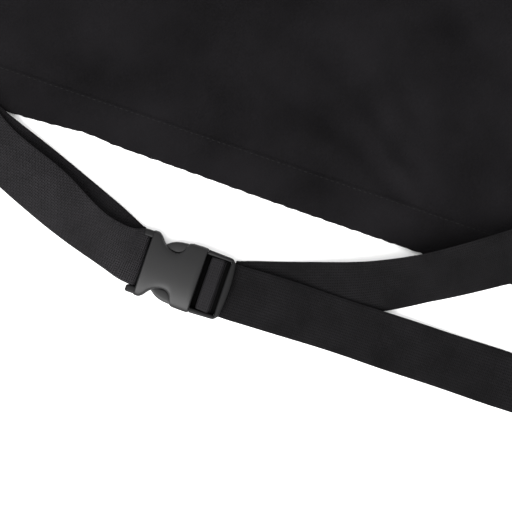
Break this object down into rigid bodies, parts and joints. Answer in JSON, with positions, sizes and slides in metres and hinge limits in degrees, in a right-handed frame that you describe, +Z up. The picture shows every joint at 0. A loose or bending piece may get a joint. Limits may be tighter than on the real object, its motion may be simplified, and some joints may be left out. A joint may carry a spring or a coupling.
{
  "type": "artist smock apron",
  "caption": "Full-length bib apron lying flat with pockets, an adjustable neck strap and a webbing waist belt closed by a side-release buckle.",
  "frame": {"origin": "middle of the footprint, on the surface that the apron lies on", "axes": "+Y toward the bib and the neck strap, +Z up from the surface, through the cloth toward the wearer's side, -X toward the side edge that the buckle lies beside"},
  "size_m": [0.7886, 1.2306, 0.0256],
  "materials": {
    "apron_cloth": "matt black plain-weave cotton and polyester cloth",
    "binding_tape": "matt black twill tape",
    "belt_webbing": "black polypropylene webbing with a fine woven grain",
    "neck_webbing": "black narrow webbing with a fine woven grain",
    "sewing_thread": "black polyester sewing thread, slightly shiny",
    "buckle_plastic": "black acetal, satin"
  },
  "bodies": {
    "root": {"apron_panel": "apron_cloth", "armhole_binding_near": "binding_tape", "armhole_binding_far": "binding_tape", "hand_pocket": "apron_cloth", "hand_pocket_binding": "binding_tape", "chest_pocket": "apron_cloth", "chest_pocket_binding": "binding_tape", "near_anchor_patch": "apron_cloth", "far_anchor_patch": "apron_cloth", "socket_tab": "belt_webbing", "tab_stitching": "sewing_thread", "buckle_socket": "buckle_plastic", "belt_near_plug": "belt_webbing", "belt_over_skirt": "belt_webbing", "belt_fold": "belt_webbing", "belt_far_run": "belt_webbing", "belt_stitching": "sewing_thread", "neck_strap": "neck_webbing", "neck_stitching": "sewing_thread", "neck_adjuster_run": "neck_webbing", "neck_ring": "buckle_plastic", "ring_tab": "neck_webbing", "ring_tab_stitching": "sewing_thread"},
    "plug": {"plug_frame": "buckle_plastic", "belt_turn": "belt_webbing"},
    "prong_cloth_side": {"prong_cloth_side": "buckle_plastic"},
    "prong_outer_side": {"prong_outer_side": "buckle_plastic"},
    "tail": {"belt_tail": "belt_webbing", "tail_stitching": "sewing_thread"},
    "slider": {"neck_slider": "buckle_plastic"}
  },
  "joints": [
    {"name": "buckle_release", "type": "slide", "parent": "root", "child": "plug", "axis": [0, -1, 0], "range_m": [0, 0.034], "deforming": ["belt_near_plug", "prong_cloth_side", "prong_outer_side"]},
    {"name": "prong_cloth_side_squeeze", "type": "hinge", "parent": "plug", "child": "prong_cloth_side", "pos_m": [-0.35495, -0.2519, 0.006], "axis": [0, 0, 1], "range_deg": [0, 9], "stiffness_Nm_per_rad": 0.8},
    {"name": "prong_outer_side_squeeze", "type": "hinge", "parent": "plug", "child": "prong_outer_side", "pos_m": [-0.38895, -0.2519, 0.006], "axis": [0, 0, -1], "range_deg": [0, 9], "stiffness_Nm_per_rad": 0.8},
    {"name": "belt_adjust", "type": "slide", "parent": "plug", "child": "tail", "axis": [0, -1, 0], "range_m": [0, 0.06]},
    {"name": "neck_adjust", "type": "slide", "parent": "root", "child": "slider", "axis": [0, 1, 0], "range_m": [-0.04, 0.02], "deforming": ["neck_adjuster_run"]}
  ]
}
